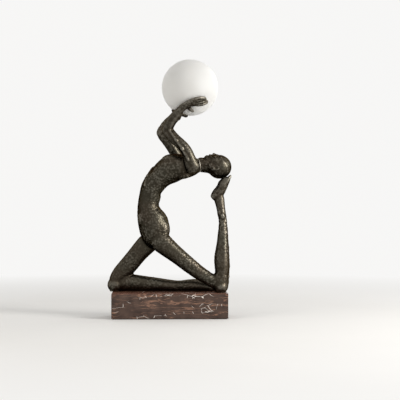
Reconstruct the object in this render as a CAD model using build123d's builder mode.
"""Figural table lamp: a cast figure kneels in a back-bend on a marble block and holds a glass globe.

Frame: origin at the middle of the block's underside, +X to the right of the front view, +Y away from
the viewer, +Z up. Millimetres. The figure faces -X at the waist and its left side is the near side.
"""

import os
from math import cos, pi, radians, sin, sqrt, tan

from build123d import *

# ---- Marble block -------------------------------------------------------------------------------
block_length = 245.0
block_depth = 92.0
block_height = 52.5
block_edge = 0.8
felt_thickness = 1.5
felt_inset = 3.0
pocket_length = 66.0
pocket_margin = 1.1
pocket_height = 24.0
pocket_corner = 5.0
pocket_end_wall = 9.5
cover_thickness = 1.5
cover_lip = 4.0
cover_clearance = 0.4
cover_ear_radius = 5.5
cover_ear_inset = 10.0
inlet_height = 15.0
grommet_radius = 5.0
grommet_bore_radius = 3.2
grommet_flange_radius = 7.5
grommet_flange_thickness = 2.0
grommet_edge = 0.8

# ---- Fasteners ----------------------------------------------------------------------------------
tube_radius = 5.0
tube_bore_radius = 3.2
tube_grip = 15.0
tube_nut_width = 14.0
tube_nut_height = 3.0
tube_tail = 2.5
tube_from_knee = 3.5
tube_washer_radius = 8.4
stud_radius = 3.0
stud_grip = 13.0
stud_nut_width = 10.0
stud_nut_height = 5.0
stud_tail = 2.0
stud_chamfer = 0.5
stud_sink = 26.0
stud_washer_radius = 9.0
washer_thickness = 1.6
washer_play = 0.6
cover_screw_radius = 1.5
cover_screw_head_radius = 2.8
cover_screw_length = 12.0
hole_play = 0.4
thread_play = 0.05

# ---- Wiring in the pocket -----------------------------------------------------------------------
terminal_size = (18.0, 16.0, 12.0)
terminal_corner = 1.0
terminal_from_wall = 6.0
terminal_y = -8.0
terminal_pitch = 8.0
terminal_wire_radius = 1.8
terminal_screw_radius = 1.6
terminal_screw_length = 4.0
clamp_length = 24.0
clamp_width = 8.0
clamp_thickness = 2.5
clamp_from_wall = 2.0
clamp_screw_inset = 4.0
clamp_screw_radius = 1.5
clamp_screw_length = 12.0
clamp_screw_head_radius = 2.8
clamp_screw_head_height = 2.0
clamp_screw_head_edge = 0.8
cord_radius = 3.0

# ---- Globe and light ----------------------------------------------------------------------------
globe_radius = 60.0
glass_thickness = 3.0
globe_opening_radius = 15.0
globe_tilt = 68.0
bracket_x = 17.3
bracket_rise = 371.5
bracket_to_glass = 9.0
bracket_arm_radius = 5.5
bracket_near_reach = (-6.2, -36.7, 1.5)
bracket_far_reach = (-12.5, 38.0, -0.5)
bracket_boss_radius = 6.4
collar_wall = 1.6
collar_height = 8.0
collar_flange = 1.8
collar_flange_thickness = 1.0
glue_gap = 0.1
gasket_thickness = 1.2
cap_floor = 1.8
cap_wall = 1.5
cap_chamfer = (2.5, 2.2)
skirt_height = 7.4
holder_radius = 9.5
holder_height = 22.0
holder_chamfer = 0.8
nipple_radius = 4.0
nipple_bore_radius = 2.4
nipple_start = 3.0
nipple_end = 12.5
bulb_radius = 6.8
bulb_length = 34.0
bulb_foot = (15.0, 7.0, 9.0)
bulb_foot_corner = 1.0
bulb_tip_radius = 6.0
bulb_seat = 5.0
pin_radius = 0.7
pin_spacing = 9.0
pin_length = 9.0
contact_size = (2.8, 4.0, 6.5)
moving_play = 0.3
thread_fit = 0.08

# ---- Figure -------------------------------------------------------------------------------------
hip_spread = 18.5
leg_spread = 20.5
shoulder_spread = 35.0
elbow_spread = 27.5
foot_spread = 13.0
hand_play = 0.4
spigot_radius = 6.5
spigot_length = 8.0
spigot_play = 0.1
spigot_end_play = 0.5
neck_bead = 0.9
neck_bead_width = 2.0
near_knee_radius = 15.5
far_knee_radius = 17.0
knee_flat_radius = 9.0
lead_radius = 1.6
channel_radius = 2.4
knee_bend = 12.0
holder_bend = 4.0
bracket_seat = 4.0
section_points = 12
section_fullness = 0.94
bend_share = 0.45

# ---- Places that follow from the sizes ----------------------------------------------------------
block_top = felt_thickness + block_height
pocket_ceiling = felt_thickness + pocket_height
pocket_depth = 2 * (leg_spread + tube_washer_radius + pocket_margin)
pocket_x = block_length / 2 - pocket_end_wall - pocket_length / 2
sink_ceiling = felt_thickness + stud_sink
globe_up = Vector(cos(radians(globe_tilt)), 0, sin(radians(globe_tilt)))
bracket_centre = Vector(bracket_x, 0, block_top + bracket_rise)
bracket_near_end = bracket_centre + Vector(*bracket_near_reach)
bracket_far_end = bracket_centre + Vector(*bracket_far_reach)
globe_rise = globe_radius + bracket_to_glass
globe_centre = bracket_centre + globe_up * globe_rise
flange_top = globe_rise - sqrt(globe_radius**2 - globe_opening_radius**2) - glue_gap
flange_bottom = flange_top - collar_flange_thickness
cap_top = flange_bottom - gasket_thickness
cap_bottom = cap_top - cap_floor
flange_radius = globe_opening_radius + collar_flange
collar_radius = globe_opening_radius - glue_gap
collar_bore_radius = collar_radius - collar_wall
skirt_radius = collar_bore_radius - thread_fit
holder_top = cap_top + holder_height
slot_floor = holder_top - bulb_seat
clamp_y = pocket_depth / 2 - clamp_width - clamp_from_wall
clamp_screw_reach = clamp_length / 2 - clamp_screw_inset
clamp_screw_places = [(pocket_x + side * clamp_screw_reach, clamp_y) for side in (-1, 1)]
foot_top = slot_floor + bulb_foot[2]

# ---- The figure's shape -------------------------------------------------------------------------
# Rows of x, distance from the middle plane, height over the block, half depth, half width.
trunk_rows = [
    (-27.0, 0, 93.0, 9.0, 8.0),
    (-27.5, 0, 99.5, 21.0, 18.0),
    (-28.5, 0, 112.0, 29.5, 27.0),
    (-31.5, 0, 128.2, 33.0, 31.2),
    (-35.8, 0, 150.6, 32.0, 32.2),
    (-43.7, 0, 171.5, 27.5, 26.0),
    (-45.0, 0, 190.0, 24.5, 22.8),
    (-40.3, 0, 215.6, 26.5, 23.0),
    (-30.3, 0, 233.7, 29.5, 24.5),
    (-12.6, 0, 251.4, 33.0, 27.3),
    (7.7, 0, 263.5, 35.0, 30.0),
    (27.9, 0, 267.5, 35.0, 26.6),
    (45.0, 0, 267.0, 28.0, 22.0),
    (56.0, 0, 269.0, 17.5, 17.0),
    (63.0, 0, 270.3, 13.0, 14.7),
]
neck_rows = [
    (63.0, 0, 270.3, 13.0, 14.7),
    (70.0, 0, 270.5, 12.6, 14.4),
    (80.0, 0, 269.0, 13.5, 15.5),
    (92.0, 0, 267.0, 14.0, 16.0),
]
near_thigh_rows = [
    (-30.0, 15.0, 119.0, 14.0, 17.0),
    (-16.8, hip_spread, 105.6, 17.5, 21.6),
    (2.8, hip_spread + 0.5, 89.0, 17.0, 19.2),
    (26.6, hip_spread + 1.0, 70.0, 16.0, 17.0),
    (45.4, hip_spread + 1.5, 54.7, 15.0, 16.0),
    (63.8, leg_spread - 0.5, 41.0, 14.2, 15.0),
    (84.5, leg_spread, 28.0, 13.6, 13.8),
    (103.0, leg_spread, 17.5, 13.5, 14.0),
]
near_shin_rows = [
    (105.0, leg_spread, 14.0, 13.0, 14.5),
    (109.5, leg_spread, 40.0, 13.5, 14.4),
    (110.6, leg_spread, 64.3, 14.2, 15.0),
    (110.6, leg_spread - 0.5, 86.0, 13.6, 14.3),
    (111.7, leg_spread - 1.5, 110.0, 11.8, 11.8),
    (112.8, leg_spread - 3.0, 138.2, 9.8, 9.6),
    (112.3, leg_spread - 4.0, 153.8, 8.8, 8.7),
    (109.8, foot_spread + 2.5, 168.7, 8.9, 9.1),
    (107.8, foot_spread + 1.5, 181.6, 9.2, 9.4),
    (106.0, foot_spread + 1.0, 191.5, 9.5, 10.6),
    (104.8, foot_spread + 0.5, 199.5, 9.6, 11.0),
    (104.5, foot_spread + 0.5, 206.5, 8.0, 8.5),
]
near_foot_rows = [
    (88.8, foot_spread + 0.5, 199.5, 4.0, 4.0),
    (93.0, foot_spread + 0.5, 202.5, 8.0, 8.2),
    (100.6, foot_spread + 0.2, 208.8, 10.0, 11.6),
    (108.6, foot_spread, 218.8, 10.6, 11.0),
    (115.6, foot_spread - 0.4, 229.6, 11.2, 8.9),
    (122.3, foot_spread - 0.7, 238.4, 11.3, 6.0),
    (127.2, foot_spread - 1.0, 242.9, 9.0, 3.2),
]
far_thigh_rows = [
    (-30.0, 15.0, 119.0, 14.0, 17.0),
    (-47.1, hip_spread, 103.1, 17.5, 21.6),
    (-69.0, hip_spread + 1.0, 79.6, 17.0, 19.8),
    (-91.4, leg_spread, 52.6, 16.0, 19.4),
    (-107.5, leg_spread + 1.0, 34.0, 15.2, 18.0),
    (-116.0, leg_spread + 1.0, 20.0, 14.0, 15.5),
]
far_shin_rows = [
    (-118.0, leg_spread + 1.0, 16.8, 12.5, 14.5),
    (-100.0, leg_spread + 1.0, 18.0, 15.0, 18.0),
    (-76.0, leg_spread + 1.0, 17.8, 15.6, 18.4),
    (-32.8, leg_spread + 0.7, 14.6, 14.2, 15.3),
    (0.0, leg_spread + 0.3, 12.2, 12.2, 12.7),
    (20.0, leg_spread, 11.3, 10.6, 11.8),
    (36.0, leg_spread, 12.2, 10.8, 12.7),
    (54.0, leg_spread, 12.8, 11.2, 13.3),
    (72.0, leg_spread, 11.0, 11.2, 11.5),
    (90.0, leg_spread - 0.5, 8.2, 11.6, 8.6),
    (103.0, leg_spread - 1.0, 5.6, 11.0, 6.0),
    (110.0, leg_spread - 1.0, 4.0, 8.0, 3.4),
]
near_upper_arm_rows = [
    (49.0, shoulder_spread - 6.0, 257.0, 9.5, 11.5),
    (45.5, shoulder_spread - 1.0, 271.0, 12.5, 15.2),
    (39.6, shoulder_spread + 0.5, 288.0, 12.0, 12.6),
    (33.0, shoulder_spread, 302.1, 11.5, 11.7),
    (21.9, shoulder_spread - 2.0, 314.2, 11.2, 11.6),
    (7.0, shoulder_spread - 5.0, 328.0, 11.0, 11.9),
    (-3.0, elbow_spread + 0.5, 339.5, 10.3, 11.6),
    (-7.0, elbow_spread, 347.5, 8.0, 8.6),
]
far_upper_arm_rows = [
    (38.0, shoulder_spread - 6.0, 253.0, 9.5, 11.5),
    (32.0, shoulder_spread - 1.0, 266.0, 12.5, 15.2),
    (21.5, shoulder_spread + 0.5, 282.0, 12.0, 12.6),
    (8.1, shoulder_spread, 303.8, 11.5, 11.7),
    (-0.6, shoulder_spread - 2.0, 317.6, 11.2, 11.6),
    (-10.4, shoulder_spread - 5.0, 330.6, 11.0, 11.9),
    (-15.6, elbow_spread + 0.5, 338.5, 10.3, 11.6),
    (-18.5, elbow_spread, 345.0, 8.0, 8.6),
]
near_forearm_rows = [
    (-8.0, elbow_spread - 0.5, 337.0, 7.5, 8.5),
    (-5.6, elbow_spread, 344.5, 10.0, 11.4),
    (-0.5, elbow_spread + 2.5, 356.5, 10.3, 11.0),
    (6.6, elbow_spread + 6.5, 368.0, 9.5, 9.9),
    (17.3, elbow_spread + 13.0, 380.0, 8.4, 8.8),
]
far_forearm_rows = [
    (-19.5, elbow_spread - 0.5, 333.0, 7.5, 8.5),
    (-17.0, elbow_spread, 340.5, 10.0, 11.4),
    (-11.5, elbow_spread + 2.5, 351.5, 10.3, 11.0),
    (-2.8, elbow_spread + 6.5, 363.7, 9.5, 9.9),
    (9.5, elbow_spread + 13.0, 375.5, 8.4, 8.8),
]
# Rows over the glass: angle in the front view, angle toward the viewer, half thickness, half width.
hand_rows = [
    (-107.5, 46.5, 6.2, 7.9),
    (-95.0, 54.0, 5.2, 8.6),
    (-78.5, 57.0, 4.7, 9.6),
    (-61.5, 56.0, 4.2, 9.4),
    (-48.0, 51.0, 3.7, 8.2),
    (-41.0, 46.5, 2.6, 5.2),
]
thumb_rows = [
    (-100.0, 50.0, 3.6, 4.5),
    (-95.0, 44.5, 4.0, 4.6),
    (-89.0, 38.5, 3.8, 4.0),
    (-84.0, 33.0, 3.0, 3.0),
    (-82.5, 31.2, 1.8, 1.8),
]
far_hand_turn = -1.5

near_knee = (107.5, leg_spread)
far_knee = (-116.5, leg_spread + 1.0)
near_knee_height = sqrt(near_knee_radius**2 - knee_flat_radius**2)
far_knee_height = sqrt(far_knee_radius**2 - knee_flat_radius**2)
tube_x = near_knee[0] - tube_from_knee
far_stud_places = [(-107.0, leg_spread + 1.0), (12.0, leg_spread + 0.2)]

# ---- Head, on its own axes: crown to the right and a little down, face up ------------------------
head_centre = Vector(106.0, 0, block_top + 266.5)
head_tilt = 9.0
skull_radii = (25.5, 22.5, 25.0)
face_radii = (26.0, 18.5, 18.5)
face_place = (-8.0, 0, 6.5)
chin_radii = (9.0, 9.5, 8.0)
chin_place = (-26.5, 0, 13.5)
nose_radii = (7.5, 3.2, 5.0)
nose_place = (-9.0, 0, 23.5)
ear_radii = (7.5, 2.4, 4.8)
ear_place = (-8.5, 21.0, -3.5)
ear_turn = 12.0

# ---- Seams between the castings: each faces along the outer piece ---------------------------------
neck_seam = Plane(origin=(63.0, 0, block_top + 270.3), x_dir=(0, -1, 0), z_dir=(0.985, 0, 0.17))
near_hip_seam = Plane(origin=(0.0, -19.0, block_top + 91.3), x_dir=(0, -1, 0), z_dir=(0.775, 0, -0.632))
far_hip_seam = Plane(origin=(-56.0, 19.0, block_top + 93.5), x_dir=(0, -1, 0), z_dir=(-0.682, 0, -0.731))
near_arm_seam = Plane(origin=(37.2, -35.5, block_top + 293.3), x_dir=(0, -1, 0), z_dir=(-0.4, 0, 0.9165))
far_arm_seam = Plane(origin=(12.8, 35.2, block_top + 296.0), x_dir=(0, -1, 0), z_dir=(-0.524, 0, 0.852))

# ---- Route of the inner lead from the pocket to the holder --------------------------------------
lead_points = [
    Vector(pocket_x + 9, -12.0, pocket_ceiling - 6.0),
    Vector(tube_x - 12, -leg_spread + 3, 11.0),
    Vector(tube_x, -leg_spread, 8.5),
    Vector(tube_x, -leg_spread, block_top + 25.0),
    Vector(60.0, -19.5, block_top + 44.0),
    Vector(0.0, -18.7, block_top + 91.3),
    Vector(-30.0, -8.0, block_top + 122.0),
    Vector(-42.0, -3.0, block_top + 160.0),
    Vector(-45.5, -2.0, block_top + 192.0),
    Vector(-36.0, -4.0, block_top + 226.0),
    Vector(-8.0, -10.0, block_top + 250.0),
    Vector(27.0, -22.0, block_top + 257.0),
    Vector(45.0, -34.0, block_top + 270.0),
    Vector(37.0, -35.4, block_top + 294.0),
    Vector(21.0, -33.0, block_top + 314.5),
    Vector(-3.6, -28.4, block_top + 341.0),
    Vector(1.5, -31.2, block_top + 358.5),
    bracket_near_end,
    bracket_centre,
    bracket_centre + globe_up * (nipple_end + 1.0),
]


# ---- Shapes that several pieces share -----------------------------------------------------------
globe_axis = Axis(bracket_centre, globe_up)
turning_plane = Plane(origin=bracket_centre, x_dir=(0, -1, 0), z_dir=Vector(0, -1, 0).cross(globe_up))


def axis_plane(distance):
    """Plane across the globe's axis, at a distance up from the bracket's centre."""
    return Plane(origin=bracket_centre + globe_up * distance, x_dir=(0, -1, 0), z_dir=globe_up)


def on_globe(around, toward_viewer, lift, side):
    """Point over the globe: angle in the front view, angle toward the viewer, height over the glass."""
    reach = globe_radius + lift
    flat = reach * cos(radians(toward_viewer))
    outward = Vector(
        flat * cos(radians(around)),
        -side * reach * sin(radians(toward_viewer)),
        flat * sin(radians(around)),
    )
    return globe_centre + outward


def figure_stations(rows, side=1):
    """Stations of a limb; the side is 1 toward the viewer and -1 away from the viewer."""
    depth_side = Vector(0, -side, 0)
    stations = []
    for x, y, z, half_depth, half_width in rows:
        stations.append((Vector(x, -side * y, block_top + z), half_depth, half_width, depth_side))
    return stations


def hand_stations(rows, turn, side):
    """Stations that lie on the glass, with their thin side square to it."""
    stations = []
    for around, toward, half_thick, half_wide in rows:
        centre = on_globe(around + turn, toward, hand_play + half_thick, side)
        stations.append((centre, half_thick, half_wide, (centre - globe_centre).normalized()))
    return stations


def rounded_outline(half_depth, half_width):
    """Points of a closed rounded outline, a little fuller than an ellipse."""
    points = []
    for step in range(section_points):
        c = cos(2 * pi * step / section_points)
        s = sin(2 * pi * step / section_points)
        x = half_depth * abs(c) ** section_fullness * (1 if c > 0 else -1)
        y = half_width * abs(s) ** section_fullness * (1 if s > 0 else -1)
        points.append((x, y))
    return points


def limb(stations):
    """Solid lofted through rounded sections square to the line through the stations."""
    centres = [station[0] for station in stations]
    last = len(centres) - 1
    with BuildPart() as body:
        for index, (centre, half_depth, half_width, depth_side) in enumerate(stations):
            direction = (centres[min(index + 1, last)] - centres[max(index - 1, 0)]).normalized()
            flat = depth_side - direction * depth_side.dot(direction)
            with BuildSketch(Plane(origin=centre, x_dir=flat.normalized(), z_dir=direction)):
                with BuildLine():
                    Spline(*rounded_outline(half_depth, half_width), periodic=True)
                make_face()
        loft()
    return body.part


def cut_at(solid, seam):
    """The two parts of a limb: the one that stays on the trunk, and the one beyond the seam."""
    sides = []
    for kept in (Keep.BOTTOM, Keep.TOP):
        with BuildPart() as body:
            add(solid)
            split(bisect_by=seam, keep=kept)
        sides.append(body.part)
    return sides


def bore(seam, radius, depth):
    """Round bar square to a seam, on the trunk's side of it."""
    with BuildPart() as body:
        with BuildSketch(seam):
            Circle(radius)
        extrude(amount=-depth)
    return body.part


def socket_at(seam):
    """Hole that the outer piece's spigot goes into."""
    return bore(seam, spigot_radius + spigot_play, spigot_length + spigot_end_play)


def spigot_at(seam):
    """Spigot of the outer piece, which centres the joint while it is brazed."""
    return bore(seam, spigot_radius, spigot_length)


def ellipsoid(radii):
    """Unit sphere stretched along its three axes."""
    with BuildPart() as body:
        Sphere(1)
        scale(by=radii)
    return body.part


def lead_route():
    """Straight runs joined by arcs as large as each corner's two runs allow."""
    radii = []
    for before, corner, after in zip(lead_points, lead_points[1:], lead_points[2:]):
        shorter = min((corner - before).length, (after - corner).length)
        half_turn = radians((corner - before).get_angle(after - corner)) / 2
        radii.append(bend_share * shorter / tan(half_turn))
    radii[2] = knee_bend
    radii[-1] = holder_bend
    with BuildLine():
        run = FilletPolyline(*lead_points, radius=radii)
    print("lead: length", round(run.length, 1), "smallest bend", round(min(radii), 1))
    return run


def tube_along(route, radius):
    """Round tube along the lead's route."""
    with BuildPart() as body:
        with BuildSketch(Plane(origin=route @ 0, z_dir=route % 0)):
            Circle(radius)
        sweep(path=route)
    return body.part


def write(piece, name):
    """Label a finished piece and save it."""
    piece.part.label = name
    export_step(piece.part, "parts/" + name + ".step")


os.makedirs("parts", exist_ok=True)
route = lead_route()
lead_solid = tube_along(route, lead_radius)
channel = tube_along(route, channel_radius)
plain_volume = pi * lead_radius**2 * route.length
print("lead: volume over section times length", round(lead_solid.volume / plain_volume, 4))

# ---- Marble block with its felt and cover -------------------------------------------------------
cover_ears = [
    (pocket_x + sx * (pocket_length / 2 - cover_ear_inset), sy * (pocket_depth / 2 + cover_lip))
    for sx in (-1, 1)
    for sy in (-1, 1)
]


def cover_outline(shrink):
    """Outline of the cover or, unshrunk, of its rebate in the block."""
    lip = cover_lip - shrink
    with BuildSketch() as outline:
        with Locations((pocket_x, 0)):
            RectangleRounded(pocket_length + 2 * lip, pocket_depth + 2 * lip, pocket_corner)
        with Locations(*cover_ears):
            Circle(cover_ear_radius - shrink)
    return outline.sketch


rebate_outline = cover_outline(0)
felt_opening = cover_outline(-cover_clearance)
plate_outline = cover_outline(cover_clearance)

with BuildPart() as base_block:
    with BuildSketch(Plane.XY.offset(felt_thickness)):
        Rectangle(block_length, block_depth)
    extrude(amount=block_height)
    chamfer(base_block.edges().group_by(Axis.Z)[-1], block_edge)
    chamfer(base_block.edges().filter_by(Axis.Z), block_edge)
    with BuildSketch(Plane.XY.offset(felt_thickness)):
        add(rebate_outline)
    extrude(amount=cover_thickness, mode=Mode.SUBTRACT)
    with BuildSketch(Plane.XY.offset(felt_thickness)):
        with Locations((pocket_x, 0)):
            RectangleRounded(pocket_length, pocket_depth, pocket_corner)
    extrude(amount=pocket_height, mode=Mode.SUBTRACT)
    with BuildSketch(Plane.XY.offset(felt_thickness)):
        with Locations(*cover_ears):
            Circle(cover_screw_radius + thread_play)
    extrude(amount=cover_screw_length + cover_thickness, mode=Mode.SUBTRACT)
    with BuildSketch(Plane.XY.offset(pocket_ceiling)):
        with Locations(*clamp_screw_places):
            Circle(clamp_screw_radius + thread_play)
    extrude(amount=clamp_screw_length - clamp_thickness, mode=Mode.SUBTRACT)
    with BuildSketch(Plane.XY.offset(felt_thickness)):
        with Locations(*far_stud_places):
            Circle(stud_washer_radius + washer_play)
    extrude(amount=stud_sink, mode=Mode.SUBTRACT)
    with BuildSketch(Plane.XY.offset(felt_thickness)):
        with Locations(*far_stud_places):
            Circle(stud_radius + hole_play)
    extrude(amount=block_height, mode=Mode.SUBTRACT)
    with BuildSketch(Plane.XY.offset(felt_thickness)):
        with Locations((tube_x, -leg_spread)):
            Circle(tube_radius + hole_play)
    extrude(amount=block_height, mode=Mode.SUBTRACT)
    with BuildSketch(Plane.XZ.offset(-block_depth / 2)):
        with Locations((pocket_x, inlet_height)):
            Circle(grommet_radius + thread_play)
    extrude(amount=block_depth / 2, mode=Mode.SUBTRACT)
write(base_block, "base_block")

with BuildPart() as felt_pad:
    with BuildSketch():
        Rectangle(block_length - 2 * felt_inset, block_depth - 2 * felt_inset)
        add(felt_opening, mode=Mode.SUBTRACT)
    extrude(amount=felt_thickness)
write(felt_pad, "felt_pad")

with BuildPart() as bottom_cover:
    with BuildSketch(Plane.XY.offset(felt_thickness)):
        add(plate_outline)
    extrude(amount=cover_thickness)
    with Locations(*[Location((x, y, felt_thickness), (180, 0, 0)) for x, y in cover_ears]):
        CounterSinkHole(
            radius=cover_screw_radius + hole_play,
            counter_sink_radius=cover_screw_head_radius + thread_play,
            depth=cover_thickness,
        )
write(bottom_cover, "bottom_cover")

with BuildPart() as cover_screws:
    for x, y in cover_ears:
        with BuildSketch(Plane(origin=(x, y, 0), x_dir=(1, 0, 0), z_dir=(0, -1, 0))):
            with BuildLine():
                Polyline(
                    (0, felt_thickness),
                    (cover_screw_head_radius, felt_thickness),
                    (cover_screw_radius, felt_thickness + cover_screw_head_radius - cover_screw_radius),
                    (cover_screw_radius, felt_thickness + cover_screw_length),
                    (0, felt_thickness + cover_screw_length),
                    close=True,
                )
            make_face()
        revolve(axis=Axis((x, y, 0), (0, 0, 1)))
write(cover_screws, "cover_screws")

# ---- Inlet, cord clamp and terminal block in the pocket -----------------------------------------
with BuildPart() as inlet_grommet:
    with BuildSketch(Plane.XZ.offset(-block_depth / 2)):
        with Locations((pocket_x, inlet_height)):
            Circle(grommet_flange_radius)
    extrude(amount=-grommet_flange_thickness)
    with BuildSketch(Plane.XZ.offset(-block_depth / 2)):
        with Locations((pocket_x, inlet_height)):
            Circle(grommet_radius)
    extrude(amount=block_depth / 2 - pocket_depth / 2)
    chamfer(inlet_grommet.faces().sort_by(Axis.Y)[-1].edges(), grommet_edge)
    with BuildSketch(Plane.XZ.offset(-block_depth / 2 - grommet_flange_thickness)):
        with Locations((pocket_x, inlet_height)):
            Circle(grommet_bore_radius)
    extrude(amount=block_depth / 2, mode=Mode.SUBTRACT)
write(inlet_grommet, "inlet_grommet")

with BuildPart() as cord_clamp:
    with BuildSketch(Plane.XZ.offset(-clamp_y - clamp_width / 2)):
        with Locations((pocket_x, pocket_ceiling - clamp_thickness / 2)):
            Rectangle(clamp_length, clamp_thickness)
        with Locations((pocket_x, pocket_ceiling)):
            Circle(cord_radius + clamp_thickness)
        with Locations((pocket_x, pocket_ceiling)):
            Circle(cord_radius, mode=Mode.SUBTRACT)
        with Locations((pocket_x, pocket_ceiling + block_height / 2)):
            Rectangle(clamp_length, block_height, mode=Mode.SUBTRACT)
    extrude(amount=clamp_width)
    with BuildSketch(Plane.XY.offset(pocket_ceiling)):
        with Locations(*clamp_screw_places):
            Circle(clamp_screw_radius + hole_play)
    extrude(amount=-clamp_thickness, mode=Mode.SUBTRACT)
write(cord_clamp, "cord_clamp")

with BuildPart() as clamp_screws:
    with BuildSketch(Plane.XY.offset(pocket_ceiling - clamp_thickness)):
        with Locations(*clamp_screw_places):
            Circle(clamp_screw_head_radius)
    extrude(amount=-clamp_screw_head_height)
    chamfer(clamp_screws.faces().group_by(Axis.Z)[0].edges(), clamp_screw_head_edge)
    with BuildSketch(Plane.XY.offset(pocket_ceiling - clamp_thickness)):
        with Locations(*clamp_screw_places):
            Circle(clamp_screw_radius)
    extrude(amount=clamp_screw_length)
write(clamp_screws, "clamp_screws")

terminal_place = (pocket_x - pocket_length / 2 + terminal_size[0] / 2 + terminal_from_wall, terminal_y)
terminal_poles = [(terminal_place[0], terminal_place[1] + side * terminal_pitch / 2) for side in (-1, 1)]
with BuildPart() as terminal_block:
    with BuildSketch(Plane.XY.offset(pocket_ceiling)):
        with Locations(terminal_place):
            RectangleRounded(terminal_size[0], terminal_size[1], terminal_corner)
    extrude(amount=-terminal_size[2])
    with BuildSketch(Plane.YZ.offset(terminal_place[0] - terminal_size[0] / 2)):
        with Locations(*[(y, pocket_ceiling - terminal_size[2] / 2) for x, y in terminal_poles]):
            Circle(terminal_wire_radius)
    extrude(amount=terminal_size[0], mode=Mode.SUBTRACT)
    with BuildSketch(Plane.XY.offset(pocket_ceiling - terminal_size[2])):
        with Locations(*terminal_poles):
            Circle(terminal_screw_radius + thread_play)
    extrude(amount=terminal_size[2] / 2, mode=Mode.SUBTRACT)
write(terminal_block, "terminal_block")

with BuildPart() as terminal_screws:
    with BuildSketch(Plane.XY.offset(pocket_ceiling - terminal_size[2] / 2 - terminal_wire_radius)):
        with Locations(*terminal_poles):
            Circle(terminal_screw_radius)
    extrude(amount=-terminal_screw_length)
write(terminal_screws, "terminal_screws")

# ---- Fixing of the legs on the block -------------------------------------------------------------
tube_place = (tube_x, -leg_spread)
tube_bottom = pocket_ceiling - washer_thickness - tube_nut_height - tube_tail
with BuildPart() as cable_tube:
    with BuildSketch(Plane.XY.offset(tube_bottom)):
        with Locations(tube_place):
            Circle(tube_radius)
            Circle(tube_bore_radius, mode=Mode.SUBTRACT)
    extrude(amount=block_top + tube_grip - tube_bottom)
write(cable_tube, "cable_tube")

with BuildPart() as tube_washer:
    with BuildSketch(Plane.XY.offset(pocket_ceiling)):
        with Locations(tube_place):
            Circle(tube_washer_radius)
            Circle(tube_radius + hole_play, mode=Mode.SUBTRACT)
    extrude(amount=-washer_thickness)
write(tube_washer, "tube_washer")

with BuildPart() as tube_nut:
    with BuildSketch(Plane.XY.offset(pocket_ceiling - washer_thickness)):
        with Locations(tube_place):
            RegularPolygon(tube_nut_width / 2, 6, major_radius=False)
            Circle(tube_radius + thread_play, mode=Mode.SUBTRACT)
    extrude(amount=-tube_nut_height)
write(tube_nut, "tube_nut")

stud_bottom = sink_ceiling - washer_thickness - stud_nut_height - stud_tail
with BuildPart() as leg_studs:
    with BuildSketch(Plane.XY.offset(stud_bottom)):
        with Locations(*far_stud_places):
            Circle(stud_radius)
    extrude(amount=block_top + stud_grip - stud_bottom)
    chamfer(leg_studs.faces().filter_by(Axis.Z).edges(), stud_chamfer)
write(leg_studs, "leg_studs")

with BuildPart() as stud_washers:
    with BuildSketch(Plane.XY.offset(sink_ceiling)):
        with Locations(*far_stud_places):
            Circle(stud_washer_radius)
            Circle(stud_radius + hole_play, mode=Mode.SUBTRACT)
    extrude(amount=-washer_thickness)
write(stud_washers, "stud_washers")

with BuildPart() as stud_nuts:
    with BuildSketch(Plane.XY.offset(sink_ceiling - washer_thickness)):
        with Locations(*far_stud_places):
            RegularPolygon(stud_nut_width / 2, 6, major_radius=False)
            Circle(stud_radius + thread_play, mode=Mode.SUBTRACT)
    extrude(amount=-stud_nut_height)
write(stud_nuts, "stud_nuts")

# ---- Castings of the figure ----------------------------------------------------------------------
trunk = limb(figure_stations(trunk_rows))
neck = limb(figure_stations(neck_rows))
near_thigh = limb(figure_stations(near_thigh_rows))
near_shin = limb(figure_stations(near_shin_rows))
near_foot = limb(figure_stations(near_foot_rows))
far_thigh = limb(figure_stations(far_thigh_rows, -1))
far_shin = limb(figure_stations(far_shin_rows, -1))
near_upper_arm = limb(figure_stations(near_upper_arm_rows))
far_upper_arm = limb(figure_stations(far_upper_arm_rows, -1))
near_forearm = limb(figure_stations(near_forearm_rows) + hand_stations(hand_rows, 0, 1))
far_forearm = limb(figure_stations(far_forearm_rows, -1) + hand_stations(hand_rows, far_hand_turn, -1))
near_thumb = limb(hand_stations(thumb_rows, 0, 1))
far_thumb = limb(hand_stations(thumb_rows, far_hand_turn, -1))
head_forms = [
    (ellipsoid(skull_radii), Location((0, 0, 0))),
    (ellipsoid(face_radii), Location(face_place)),
    (ellipsoid(chin_radii), Location(chin_place)),
    (ellipsoid(nose_radii), Location(nose_place)),
]
for side in (-1, 1):
    ear_spot = (ear_place[0], side * ear_place[1], ear_place[2])
    head_forms.append((ellipsoid(ear_radii), Location(ear_spot, (0, ear_turn, 0))))
near_hip, near_thigh_end = cut_at(near_thigh, near_hip_seam)
far_hip, far_thigh_end = cut_at(far_thigh, far_hip_seam)
near_shoulder, near_arm_end = cut_at(near_upper_arm, near_arm_seam)
far_shoulder, far_arm_end = cut_at(far_upper_arm, far_arm_seam)
sockets = [socket_at(seam) for seam in (neck_seam, near_hip_seam, far_hip_seam, near_arm_seam, far_arm_seam)]
neck_spigot = spigot_at(neck_seam)
near_hip_spigot = spigot_at(near_hip_seam)
far_hip_spigot = spigot_at(far_hip_seam)
near_arm_spigot = spigot_at(near_arm_seam)
far_arm_spigot = spigot_at(far_arm_seam)

with BuildPart() as globe_room:
    with Locations(globe_centre):
        Sphere(globe_radius + hand_play)

with BuildPart() as head:
    add(neck)
    split(bisect_by=neck_seam, keep=Keep.TOP)
    head_frame = Location(head_centre, (0, head_tilt, 0))
    for form, place in head_forms:
        with Locations(head_frame * place):
            add(form)
    with BuildSketch(neck_seam):
        Ellipse(trunk_rows[-1][4] + neck_bead, trunk_rows[-1][3] + neck_bead, rotation=90)
    extrude(amount=neck_bead_width)
    add(neck_spigot)
write(head, "head")

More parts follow.
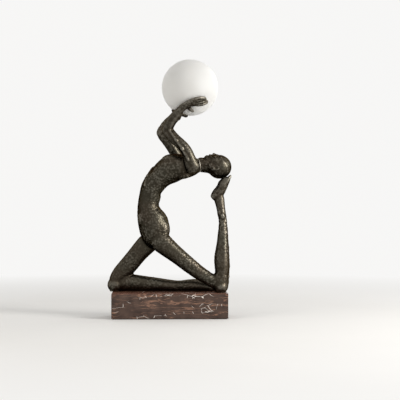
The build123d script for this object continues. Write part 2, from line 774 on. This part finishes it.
with BuildPart() as torso:
    add(trunk)
    split(bisect_by=neck_seam, keep=Keep.BOTTOM)
    for stub in (near_hip, far_hip, near_shoulder, far_shoulder):
        add(stub)
    for socket in sockets:
        add(socket, mode=Mode.SUBTRACT)
    add(channel, mode=Mode.SUBTRACT)
write(torso, "torso")

with BuildPart() as near_leg:
    add(near_thigh_end)
    add(near_shin)
    add(near_foot)
    with Locations((near_knee[0], -near_knee[1], block_top + near_knee_height)):
        Sphere(near_knee_radius)
    split(bisect_by=Plane.XY.offset(block_top), keep=Keep.TOP)
    add(near_hip_spigot)
    add(head.part, mode=Mode.SUBTRACT)
    with BuildSketch(Plane.XY.offset(block_top)):
        with Locations(tube_place):
            Circle(tube_radius + thread_play)
    extrude(amount=tube_grip + thread_play, mode=Mode.SUBTRACT)
    add(channel, mode=Mode.SUBTRACT)
write(near_leg, "near_leg")

with BuildPart() as far_leg:
    add(far_thigh_end)
    add(far_shin)
    with Locations((far_knee[0], far_knee[1], block_top + far_knee_height)):
        Sphere(far_knee_radius)
    split(bisect_by=Plane.XY.offset(block_top), keep=Keep.TOP)
    add(far_hip_spigot)
    with BuildSketch(Plane.XY.offset(block_top)):
        with Locations(*far_stud_places):
            Circle(stud_radius + thread_play)
    extrude(amount=stud_grip + thread_play, mode=Mode.SUBTRACT)
write(far_leg, "far_leg")

with BuildPart() as near_arm:
    add(near_arm_end)
    add(near_forearm)
    add(near_thumb)
    add(near_arm_spigot)
    add(globe_room.part, mode=Mode.SUBTRACT)
    add(channel, mode=Mode.SUBTRACT)
write(near_arm, "near_arm")

with BuildPart() as far_arm:
    add(far_arm_end)
    add(far_forearm)
    add(far_thumb)
    add(far_arm_spigot)
    add(globe_room.part, mode=Mode.SUBTRACT)
write(far_arm, "far_arm")

# ---- Bracket between the forearms and the cap under the globe ------------------------------------
boss_shoulder = (bracket_boss_radius, 0)
with BuildPart() as gallery_bracket:
    for end in (bracket_near_end, bracket_far_end):
        reach = end - bracket_centre
        with BuildSketch(Plane(origin=bracket_centre, z_dir=reach.normalized())):
            Circle(bracket_arm_radius)
        extrude(amount=reach.length - bracket_seat)
    with BuildSketch(turning_plane):
        with BuildLine():
            Polyline((0, -bracket_boss_radius), (0, cap_bottom), (bracket_boss_radius, cap_bottom), boss_shoulder)
            RadiusArc(boss_shoulder, (0, -bracket_boss_radius), bracket_boss_radius)
        make_face()
    revolve(axis=globe_axis)
    split(bisect_by=axis_plane(cap_bottom), keep=Keep.BOTTOM)
    with BuildSketch(axis_plane(nipple_start)):
        Circle(nipple_radius + thread_play)
    extrude(amount=cap_bottom - nipple_start, mode=Mode.SUBTRACT)
    add(near_arm.part, mode=Mode.SUBTRACT)
    add(far_arm.part, mode=Mode.SUBTRACT)
    add(channel, mode=Mode.SUBTRACT)
write(gallery_bracket, "gallery_bracket")


cap_inner_radius = flange_radius + moving_play
cap_outer_radius = cap_inner_radius + cap_wall
inner_rim = globe_rise - sqrt((globe_radius + moving_play) ** 2 - cap_inner_radius**2)
outer_rim = globe_rise - sqrt((globe_radius + moving_play) ** 2 - cap_outer_radius**2)
with BuildPart() as gallery_cap:
    with BuildSketch(turning_plane):
        with BuildLine():
            Polyline(
                (nipple_radius + thread_play, cap_bottom),
                (cap_outer_radius - cap_chamfer[0], cap_bottom),
                (cap_outer_radius, cap_bottom + cap_chamfer[1]),
                (cap_outer_radius, outer_rim),
                (cap_inner_radius, inner_rim),
                (cap_inner_radius, cap_top),
                (nipple_radius + thread_play, cap_top),
                close=True,
            )
        make_face()
    revolve(axis=globe_axis)
write(gallery_cap, "gallery_cap")

with BuildPart() as holder_nipple:
    with BuildSketch(axis_plane(nipple_start)):
        Circle(nipple_radius)
        Circle(nipple_bore_radius, mode=Mode.SUBTRACT)
    extrude(amount=nipple_end - nipple_start)
write(holder_nipple, "holder_nipple")

with BuildPart() as lamp_holder:
    with BuildSketch(turning_plane):
        with BuildLine():
            Polyline(
                (0, cap_top),
                (skirt_radius, cap_top),
                (skirt_radius, cap_top + skirt_height),
                (holder_radius, cap_top + skirt_height),
                (holder_radius, holder_top - holder_chamfer),
                (holder_radius - holder_chamfer, holder_top),
                (0, holder_top),
                close=True,
            )
        make_face()
    revolve(axis=globe_axis)
    with BuildSketch(axis_plane(cap_top)):
        Circle(nipple_radius + thread_play)
    extrude(amount=nipple_end - cap_top, mode=Mode.SUBTRACT)
    with BuildSketch(axis_plane(slot_floor)):
        Rectangle(bulb_foot[0] + 2 * moving_play, bulb_foot[1] + 2 * moving_play)
    extrude(amount=bulb_seat, mode=Mode.SUBTRACT)
    with BuildSketch(axis_plane(slot_floor)):
        with Locations((-pin_spacing / 2, 0), (pin_spacing / 2, 0)):
            Rectangle(contact_size[0], contact_size[1])
    extrude(amount=-(pin_length + moving_play), mode=Mode.SUBTRACT)
    with BuildSketch(axis_plane(slot_floor - pin_length - moving_play)):
        Circle(nipple_bore_radius)
    extrude(amount=-(slot_floor - pin_length - moving_play - nipple_end), mode=Mode.SUBTRACT)
write(lamp_holder, "lamp_holder")

with BuildPart() as holder_contacts:
    with BuildSketch(axis_plane(slot_floor)):
        with Locations((-pin_spacing / 2, 0), (pin_spacing / 2, 0)):
            Rectangle(contact_size[0], contact_size[1])
            Circle(pin_radius + thread_fit, mode=Mode.SUBTRACT)
    extrude(amount=-contact_size[2])
write(holder_contacts, "holder_contacts")

# ---- Globe, its threaded collar and its gasket ---------------------------------------------------
with BuildPart() as globe_gasket:
    with BuildSketch(axis_plane(cap_top)):
        Circle(flange_radius)
        Circle(skirt_radius + moving_play, mode=Mode.SUBTRACT)
    extrude(amount=gasket_thickness)
write(globe_gasket, "globe_gasket")

with BuildPart() as globe_collar:
    with BuildSketch(turning_plane):
        with BuildLine():
            Polyline(
                (collar_bore_radius, flange_bottom),
                (flange_radius, flange_bottom),
                (flange_radius, flange_top),
                (collar_radius, flange_top),
                (collar_radius, flange_bottom + collar_height),
                (collar_bore_radius, flange_bottom + collar_height),
                close=True,
            )
        make_face()
    revolve(axis=globe_axis)
write(globe_collar, "globe_collar")

with BuildPart() as opal_globe:
    with Locations(globe_centre):
        Sphere(globe_radius)
        Sphere(globe_radius - glass_thickness, mode=Mode.SUBTRACT)
    with BuildSketch(axis_plane(0)):
        Circle(globe_opening_radius)
    extrude(amount=globe_rise, mode=Mode.SUBTRACT)
write(opal_globe, "opal_globe")

# ---- Bulb ----------------------------------------------------------------------------------------
with BuildPart() as bulb_base:
    with BuildSketch(axis_plane(slot_floor)):
        RectangleRounded(bulb_foot[0], bulb_foot[1], bulb_foot_corner)
    extrude(amount=bulb_foot[2])
write(bulb_base, "bulb_base")

with BuildPart() as bulb_capsule:
    with BuildSketch(axis_plane(foot_top)):
        Circle(bulb_radius)
    extrude(amount=bulb_length)
    fillet(bulb_capsule.faces().sort_by(globe_axis)[-1].edges(), bulb_tip_radius)
write(bulb_capsule, "bulb_capsule")

with BuildPart() as bulb_pins:
    with BuildSketch(axis_plane(slot_floor)):
        with Locations((-pin_spacing / 2, 0), (pin_spacing / 2, 0)):
            Circle(pin_radius)
    extrude(amount=-pin_length)
write(bulb_pins, "bulb_pins")

# ---- Lead through the figure ---------------------------------------------------------------------
with BuildPart() as inner_lead:
    add(lead_solid)
write(inner_lead, "inner_lead")
